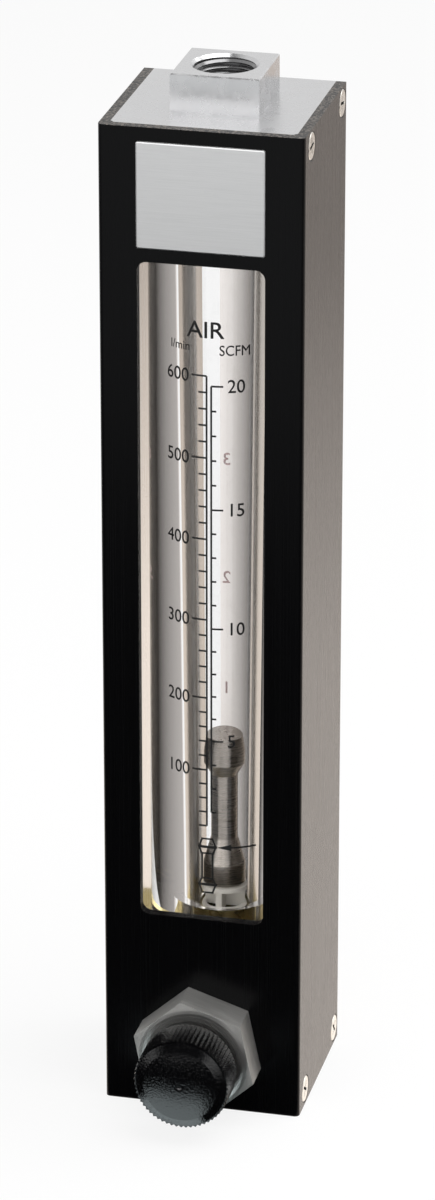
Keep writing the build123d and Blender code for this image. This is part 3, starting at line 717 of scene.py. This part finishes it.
def flat_stroke(start, end, width):
    """A straight line of the print between two (x, z) points, square past its ends."""
    run = Vector((end[0] - start[0], end[1] - start[1]))
    bm = flat_box(-width / 2, run.length + width / 2, -width / 2, width / 2)
    turn = Matrix.Rotation(-math.atan2(run.y, run.x), 4, "Y")
    bmesh.ops.transform(bm, matrix=Matrix.Translation((start[0], 0, start[1])) @ turn, verts=bm.verts)
    return bm


def flat_text(words, height, x, z, align="CENTER", width=LETTER_WIDTH):
    """Letters in the plane of the print, on a base line at z. Width is a share of the font's own.

    A copy of the letters, moved a little up and to the right, gives them their weight.
    """
    curve = bpy.data.curves.new("print", "FONT")
    curve.body = words
    curve.size = height / CAPITAL_SHARE
    curve.align_x = align
    curve.resolution_u = 4
    letters = bpy.data.objects.new("print", curve)
    mesh = bpy.data.meshes.new_from_object(letters)
    bm = bmesh.new()
    bm.from_mesh(mesh)
    merge_into(bm, bm.copy(), Matrix.Translation((LETTER_WEIGHT * height, LETTER_WEIGHT * height, 0)))
    bpy.data.objects.remove(letters)
    bpy.data.curves.remove(curve)
    bpy.data.meshes.remove(mesh)
    narrow = Matrix.Diagonal((width, 1, 1, 1))
    place = Matrix.Translation((x, 0, z)) @ Matrix.Rotation(math.pi / 2, 4, "X") @ narrow
    bmesh.ops.transform(bm, matrix=place, verts=bm.verts)
    return bm


def wrap_on_tube(bm, radius):
    """Cuts a flat print into narrow strips and wraps it round the tube."""
    strips = int(radius * math.pi / 2 / STRIP)
    for index in range(-strips, strips + 1):
        everything = bm.verts[:] + bm.edges[:] + bm.faces[:]
        bmesh.ops.bisect_plane(bm, geom=everything, plane_co=(index * STRIP, 0, 0), plane_no=(1, 0, 0))
    for vert in bm.verts:
        angle = vert.co.x / radius
        vert.co = Vector((radius * math.sin(angle), -radius * math.cos(angle), vert.co.z))


def float_sign(bm, line):
    """The sign for a float: two flattened hexagons and a stem."""
    rows = [(level * MM, half * MM) for level, half in SIGN_ROWS]
    stem = rows[STEM_ROW][1] - STEM_INSET
    for upper, lower in zip(rows, rows[1:]):
        top, foot = (stem, stem) if upper == rows[STEM_ROW] else (upper[1], lower[1])
        for side in (-1, 1):
            merge_into(bm, flat_stroke((side * top, upper[0]), (side * foot, lower[0]), line))
    for level, half in rows:
        weight = line * HEAVY_LINE if half > WIDE_ROW else line
        merge_into(bm, flat_stroke((-half, level), (half, level), weight))


def reading_arrow(bm, tip, head, tail, line):
    """The arrow that points at the reading edge."""
    merge_into(bm, flat_stroke((head, READING_EDGE), (tail, READING_EDGE), line))
    point = bmesh.new()
    spots = ((tip, READING_EDGE), (head, READING_EDGE - ARROW_HALF), (head, READING_EDGE + ARROW_HALF))
    point.faces.new([point.verts.new((x, 0, z)) for x, z in spots])
    merge_into(bm, point)


class METER_OT_scale(Operator):
    """Print the flow scales, the float's sign and the rear numbers on the tube"""

    bl_idname = "meter.scale"
    bl_label = "Printed scale"

    def execute(self, context):
        sizes, colours = context.scene.meter_sizes, context.scene.meter_colours
        radius = TUBE_HIGH.x + sizes.print_lift
        half, digit = sizes.print_line / 2, sizes.digit_height

        def along(angle):
            return math.radians(angle) * radius

        bm = bmesh.new()
        for scale in SCALES:
            low, high = (height_at(scale.marks, value) for value in (scale.values[0], scale.values[-1]))
            merge_into(bm, flat_box(along(scale.line) - half, along(scale.line) + half, low, high))
        for scale in SCALES:
            for value in scale.values:
                end = scale.short_end if value % scale.long_every else scale.long_end
                left, right = sorted((along(scale.line), along(end)))
                z = height_at(scale.marks, value)
                merge_into(bm, flat_box(left, right, z - half, z + half))
        for scale in SCALES:
            for value in scale.values:
                if value % scale.long_every == 0:
                    z = height_at(scale.marks, value) - digit * scale.drop
                    merge_into(bm, flat_text(str(value), digit, along(scale.numbers), z, scale.numbers_side))
        for heading in HEADINGS:
            height, x, z = digit * heading.size, along(heading.place), heading.height * MM
            merge_into(bm, flat_text(heading.words, height, x, z, width=heading.width))
        float_sign(bm, sizes.mark_line)
        reading_arrow(bm, along(ARROW_TIP), along(ARROW_HEAD), along(ARROW_TAIL), sizes.mark_line)
        wrap_on_tube(bm, radius)
        add_piece("scale_print", bm, scale_ink("screen_printed_ink", colours.ink), flat=True)

        # Faded numbers on the tube's rear, which show reversed through it
        bm = bmesh.new()
        height = sizes.rear_digit_height
        for number, level in REAR_MARKS.items():
            z = level * MM - height / 2
            merge_into(bm, flat_text(str(number), height, along(REAR_PLACE), z, width=REAR_WIDTH))
        wrap_on_tube(bm, radius)
        bmesh.ops.rotate(bm, cent=(0, 0, 0), matrix=Matrix.Rotation(math.pi, 3, "Z"), verts=bm.verts)
        add_piece("rear_print", bm, scale_ink("faded_red_ink", colours.rear_ink), flat=True)
        return {"FINISHED"}


class METER_OT_float(Operator):
    """Turn the dumbbell float"""

    bl_idname = "meter.float"
    bl_label = "Float"

    def execute(self, context):
        base = context.scene.meter_colours.float_steel
        feed_marks = (6 * MM, 6 * MM, 0.12 * MM)
        steel = turned_metal("turned_float_steel", base, feed_marks, roughness=(0.22, 0.36), depth=0.01 * MM)
        dress(steel, "float")
        return {"FINISHED"}


class METER_OT_valve(Operator):
    """Dress the bonnet, needle and spindle, and the knob"""

    bl_idname = "meter.valve"
    bl_label = "Needle valve"

    def execute(self, context):
        base = context.scene.meter_colours.steel
        feed_marks = (1.5 * MM, 0.1 * MM, 1.5 * MM)
        steel = turned_metal("turned_bright_steel", base, feed_marks, roughness=(0.26, 0.42), depth=0.01 * MM)
        dress(hexagon_steel(base), "bonnet")
        dress(steel, "gland_nut", "needle", "spindle")
        dress(moulded_knob(), "knob")
        return {"FINISHED"}


# Screws

SCREW_TURN = math.radians(37)
SCREW_STEPS = 48
SCREW_EDGE = 0.25 * MM
RECESS_TAPER = 0.62


class METER_OT_screws(Operator):
    """Make the side screws with cross recesses, and dress the set screw"""

    bl_idname = "meter.screws"
    bl_label = "Screws"

    def execute(self, context):
        base = context.scene.meter_colours.screw
        steel = plated_screw(base)
        socket_steel = turned_metal(
            "set_screw_steel", base, (0.5 * MM,) * 3, roughness=(0.2, 0.34), depth=0.008 * MM
        )
        dress(socket_steel, "set_screw")
        sizes = context.scene.meter_sizes
        bm = bmesh.new()
        for place in screw_places(sizes):
            merge_into(bm, cross_screw(sizes), place)
        add_piece("cross_screws", bm, steel, replaces=("side_screws",))
        return {"FINISHED"}


def screw_places(sizes):
    """Where each side screw goes: its head flush with the side and its shank pointing in."""
    rows = (HOUSING_LOW.y + sizes.screw_front, HOUSING_HIGH.y - sizes.screw_back)
    levels = (HOUSING_LOW.z + sizes.screw_end, HOUSING_HIGH.z - sizes.screw_end)
    places = []
    for index, (side, y, z) in enumerate((side, y, z) for side in (-1, 1) for y in rows for z in levels):
        facing = Matrix.Rotation(side * math.pi / 2, 4, "Y") @ Matrix.Rotation(index * SCREW_TURN, 4, "Z")
        places.append(Matrix.Translation((side * HOUSING_HIGH.x, y, z)) @ facing)
    return places


def cross_screw(sizes):
    """A countersunk screw along Z, head up at the origin, with a cross recess."""
    head, shank = sizes.screw_head, sizes.screw_shank
    outline = (
        (0, 0),
        (head - SCREW_EDGE, 0),
        (head, -SCREW_EDGE),
        (shank, -SCREW_EDGE - (head - shank)),
        (shank, -sizes.screw_length),
        (0, -sizes.screw_length),
    )
    bm = turned(outline, SCREW_STEPS, closed=False)
    bmesh.ops.remove_doubles(bm, verts=bm.verts, dist=WELD)
    half, reach = sizes.recess_half, sizes.recess_reach
    for offset in (-reach, -half, half, reach):
        for normal in (Vector((1, 0, 0)), Vector((0, 1, 0))):
            top = [face for face in bm.faces if face.calc_center_median().z > -PLAY]
            geom = top + list(dict.fromkeys(edge for face in top for edge in face.edges))
            geom += list(dict.fromkeys(vert for face in top for vert in face.verts))
            bmesh.ops.bisect_plane(bm, geom=geom, plane_co=normal * offset, plane_no=normal)
    arms = []
    for face in bm.faces:
        centre = face.calc_center_median()
        near, far = sorted((abs(centre.x), abs(centre.y)))
        if centre.z > -PLAY and near < half and far < reach:
            arms.append(face)
    cut = bmesh.ops.extrude_face_region(bm, geom=arms)
    floor = [item for item in cut["geom"] if isinstance(item, bmesh.types.BMVert)]
    bmesh.ops.delete(bm, geom=arms, context="FACES")
    bmesh.ops.scale(bm, vec=(RECESS_TAPER, RECESS_TAPER, 1), verts=floor)
    bmesh.ops.translate(bm, vec=(0, 0, -sizes.recess_depth), verts=floor)
    return bm


# Stage

# Where each lamp's middle is and how large it is, in metres
FRONT_LAMP_PLACE, FRONT_LAMP_SIZE = (-0.35, -1.7, 0.95), (1.8, 1.7)
SIDE_LAMP_PLACE, SIDE_LAMP_SIZE = (1.3, 0.9, 0.9), (1.0, 1.0)
TOP_LAMP_PLACE, TOP_LAMP_SIZE = (0.55, -0.1, 1.65), (1.4, 1.4)
FLOOR_REACH = 15
NEAREST_SEEN, FARTHEST_SEEN = 0.05, 60
CARD = 0.1 * MM


class Fade(NamedTuple):
    """Fades a card's tone to another one between two places along an axis."""

    axis: str
    start: float
    end: float
    tone: str


class METER_OT_stage(Operator):
    """Lay the floor and set the lamps and the camera"""

    bl_idname = "meter.stage"
    bl_label = "Stage"

    def execute(self, context):
        settings = context.scene.meter_stage
        lay_floor(context)
        light_world(context)
        add_lamp("front_softbox", FRONT_LAMP_PLACE, FRONT_LAMP_SIZE, settings.front_power)
        add_lamp("side_softbox", SIDE_LAMP_PLACE, SIDE_LAMP_SIZE, settings.side_power)
        add_lamp("top_softbox", TOP_LAMP_PLACE, TOP_LAMP_SIZE, settings.top_power)
        lay_cards()
        set_camera(context)
        context.scene.view_settings.view_transform = "Standard"
        return {"FINISHED"}


def seen_directly(tree):
    """1 for what the eye sees straight, mirrored or through glass, and 0 for light that falls on pieces."""
    path = add_node(tree, "ShaderNodeLightPath").outputs
    straight = {0: path["Is Camera Ray"], 1: path["Is Glossy Ray"]}
    either = add_node(tree, "ShaderNodeMath", straight, operation="MAXIMUM")
    return add_node(tree, "ShaderNodeMath", {0: either, 1: path["Is Transmission Ray"]}, operation="MAXIMUM")


def add_stage_object(name, bm, material):
    """Turns a finished bmesh into a part of the stage."""
    mesh = bpy.data.meshes.new(name)
    bm.to_mesh(mesh)
    bm.free()
    mesh.materials.append(material)
    thing = bpy.data.objects.new(name, mesh)
    bpy.context.scene.collection.objects.link(thing)
    return thing


def lay_floor(context):
    """A wide pale floor that shows nearly white to the eye and keeps the object's shadow."""
    bm = bmesh.new()
    bmesh.ops.create_grid(bm, x_segments=1, y_segments=1, size=FLOOR_REACH)
    bmesh.ops.translate(bm, vec=(0, 0, -CARD), verts=bm.verts)
    tone = context.scene.meter_colours.floor
    material, tree, shader = new_material("pale_floor", base_color=tone, roughness=0.9, specular_ior_level=0)
    glow = add_node(tree, "ShaderNodeEmission", {"Color": linear("#ffffff"), "Strength": 1.0})
    whiteness = context.scene.meter_stage.floor_whiteness
    share = add_node(tree, "ShaderNodeMath", {0: seen_directly(tree), 1: whiteness}, operation="MULTIPLY")
    mix_surface(tree, share, shader, glow)
    add_stage_object("floor", bm, material)


def add_card(name, x, y, z, tone, fade=None, strength=1.0, through_glass=False):
    """A card off the picture that gives no light and no shadow. Only reflections or only glass show it."""
    black, colour_at_start = linear("#000000"), linear(tone)
    material, tree, shader = new_material(name, base_color=black, roughness=1.0, specular_ior_level=0)
    feed(tree, shader, {"Emission Color": colour_at_start, "Emission Strength": strength})
    if fade:
        along = {"Value": object_axes(tree)[fade.axis], "From Min": fade.start, "From Max": fade.end}
        share = add_node(tree, "ShaderNodeMapRange", along)
        feed(tree, shader, {"Emission Color": layered(tree, colour_at_start, (share, linear(fade.tone)))})
    card = add_stage_object(name, box_bm(x, y, z), material)
    card.visible_camera = False
    card.visible_diffuse = False
    card.visible_shadow = False
    card.visible_glossy = not through_glass
    card.visible_transmission = through_glass


def lay_cards():
    """Cards that shape what the metal mirrors and what the clear tube bends into view, in metres."""
    add_card(
        "dark_floor_in_front",
        x=(-2.0, 1.2),
        y=(-1.6, -0.0325),
        z=(0, CARD),
        tone="#000000",
        fade=Fade("Y", -0.5, -0.7, "#f4f6f7"),
    )
    # Painted reflection: a glowing pale patch just in front of the knob, seen only in reflections, lights the
    # knob's lower part.
    add_card(
        "painted_pale_reflection_on_knob",
        x=(-0.028, 0.008),
        y=(-0.091, -0.06),
        z=(2 * CARD, 3 * CARD),
        tone="#eefcff",
        strength=1.9,
    )
    # Painted reflection: a black sheet hung just in front of the knob, seen only in reflections, darkens its
    # bevel.
    add_card("painted_dark_reflection_on_knob", x=(-0.022, 0.014), y=(-0.0765, -0.075), z=(0.034, 0.05), tone="#000000")
    add_card(
        "warm_floor_behind",
        x=(-0.3, 1.6),
        y=(-0.032, 1.3),
        z=(0, CARD),
        tone="#fff5ec",
        fade=Fade("Y", 0.32, 0.8, "#b9b0a9"),
        strength=1.54,
    )
    add_card("dark_ceiling", x=(-1.6, 1.4), y=(-2.2, -0.4), z=(1.9, 1.91), tone="#000000")
    add_card("bright_wall_behind", x=(1.0, 1.01), y=(1.2, 1.8), z=(0, 0.5), tone="#ffffff", strength=3.0)
    add_card(
        "room_seen_through_tube",
        x=(-0.032, 0.9),
        y=(0.1, 0.101),
        z=(0, 0.6),
        tone="#ece6e2",
        fade=Fade("X", -0.03, 0.062, "#2e2b29"),
        through_glass=True,
    )


def light_world(context):
    """An even pale surround, white to the eye."""
    world = bpy.data.worlds.new("studio")
    context.scene.world = world
    world.use_nodes = True
    tree = world.node_tree
    tree.nodes.clear()
    white = linear("#ffffff")
    surround = context.scene.meter_stage.surround
    plain = add_node(tree, "ShaderNodeBackground", {"Color": white, "Strength": surround})
    bright = add_node(tree, "ShaderNodeBackground", {"Color": white, "Strength": 1.0})
    mix = add_node(tree, "ShaderNodeMixShader", {0: seen_directly(tree), 1: plain, 2: bright})
    add_node(tree, "ShaderNodeOutputWorld", {"Surface": mix})


def add_lamp(name, place, size, power):
    """A soft rectangular lamp aimed at the object's middle."""
    lamp = bpy.data.lights.new(name, "AREA")
    lamp.shape = "RECTANGLE"
    lamp.size, lamp.size_y = size
    lamp.energy = power
    holder = bpy.data.objects.new(name, lamp)
    bpy.context.scene.collection.objects.link(holder)
    middle = (CAD_BOX[0] + CAD_BOX[1]) / 2
    holder.location = place
    holder.rotation_euler = (middle - Vector(place)).to_track_quat("-Z", "Y").to_euler()


def set_camera(context):
    """The photograph's camera."""
    settings = context.scene.meter_camera
    data = bpy.data.cameras.new("photo_camera")
    camera = bpy.data.objects.new("photo_camera", data)
    context.scene.collection.objects.link(camera)
    round_right, up = settings.azimuth, settings.elevation
    level = math.cos(up)
    back = Vector((math.sin(round_right) * level, -math.cos(round_right) * level, math.sin(up)))
    camera.location = Vector(settings.aim) + back * settings.distance
    camera.rotation_euler = (-back).to_track_quat("-Z", "Y").to_euler()
    data.lens = settings.lens
    data.clip_start, data.clip_end = NEAREST_SEEN, FARTHEST_SEEN
    context.scene.camera = camera


SETTINGS = {
    "meter_sizes": MeterSizes,
    "meter_colours": MeterColours,
    "meter_stage": StageSettings,
    "meter_camera": CameraSettings,
}
STEPS = (
    METER_OT_housing,
    METER_OT_blocks,
    METER_OT_tube,
    METER_OT_scale,
    METER_OT_float,
    METER_OT_valve,
    METER_OT_screws,
    METER_OT_stage,
)


class METER_PT_pieces(Panel):
    """Lists the steps and their settings in the 3D view's sidebar"""

    bl_label = "Flow meter"
    bl_idname = "METER_PT_pieces"
    bl_space_type = "VIEW_3D"
    bl_region_type = "UI"
    bl_category = "Flow meter"

    def draw(self, context):
        for step in STEPS:
            self.layout.operator(step.bl_idname)
        for name, group in SETTINGS.items():
            box = self.layout.box()
            for entry in group.__annotations__:
                box.prop(getattr(context.scene, name), entry)


CLASSES = (*SETTINGS.values(), *STEPS, METER_PT_pieces)


def register():
    """Registers the classes and puts the settings on the scene."""
    for item in CLASSES:
        bpy.utils.register_class(item)
    for name, group in SETTINGS.items():
        setattr(bpy.types.Scene, name, PointerProperty(type=group))


def unregister():
    """Undoes register."""
    for name in SETTINGS:
        delattr(bpy.types.Scene, name)
    for item in reversed(CLASSES):
        bpy.utils.unregister_class(item)


def main():
    """Builds every piece and the stage."""
    register()
    bpy.ops.meter.housing()
    bpy.ops.meter.blocks()
    bpy.ops.meter.tube()
    bpy.ops.meter.scale()
    bpy.ops.meter.float()
    bpy.ops.meter.valve()
    bpy.ops.meter.screws()
    bpy.ops.meter.stage()


if __name__ == "__main__":
    main()
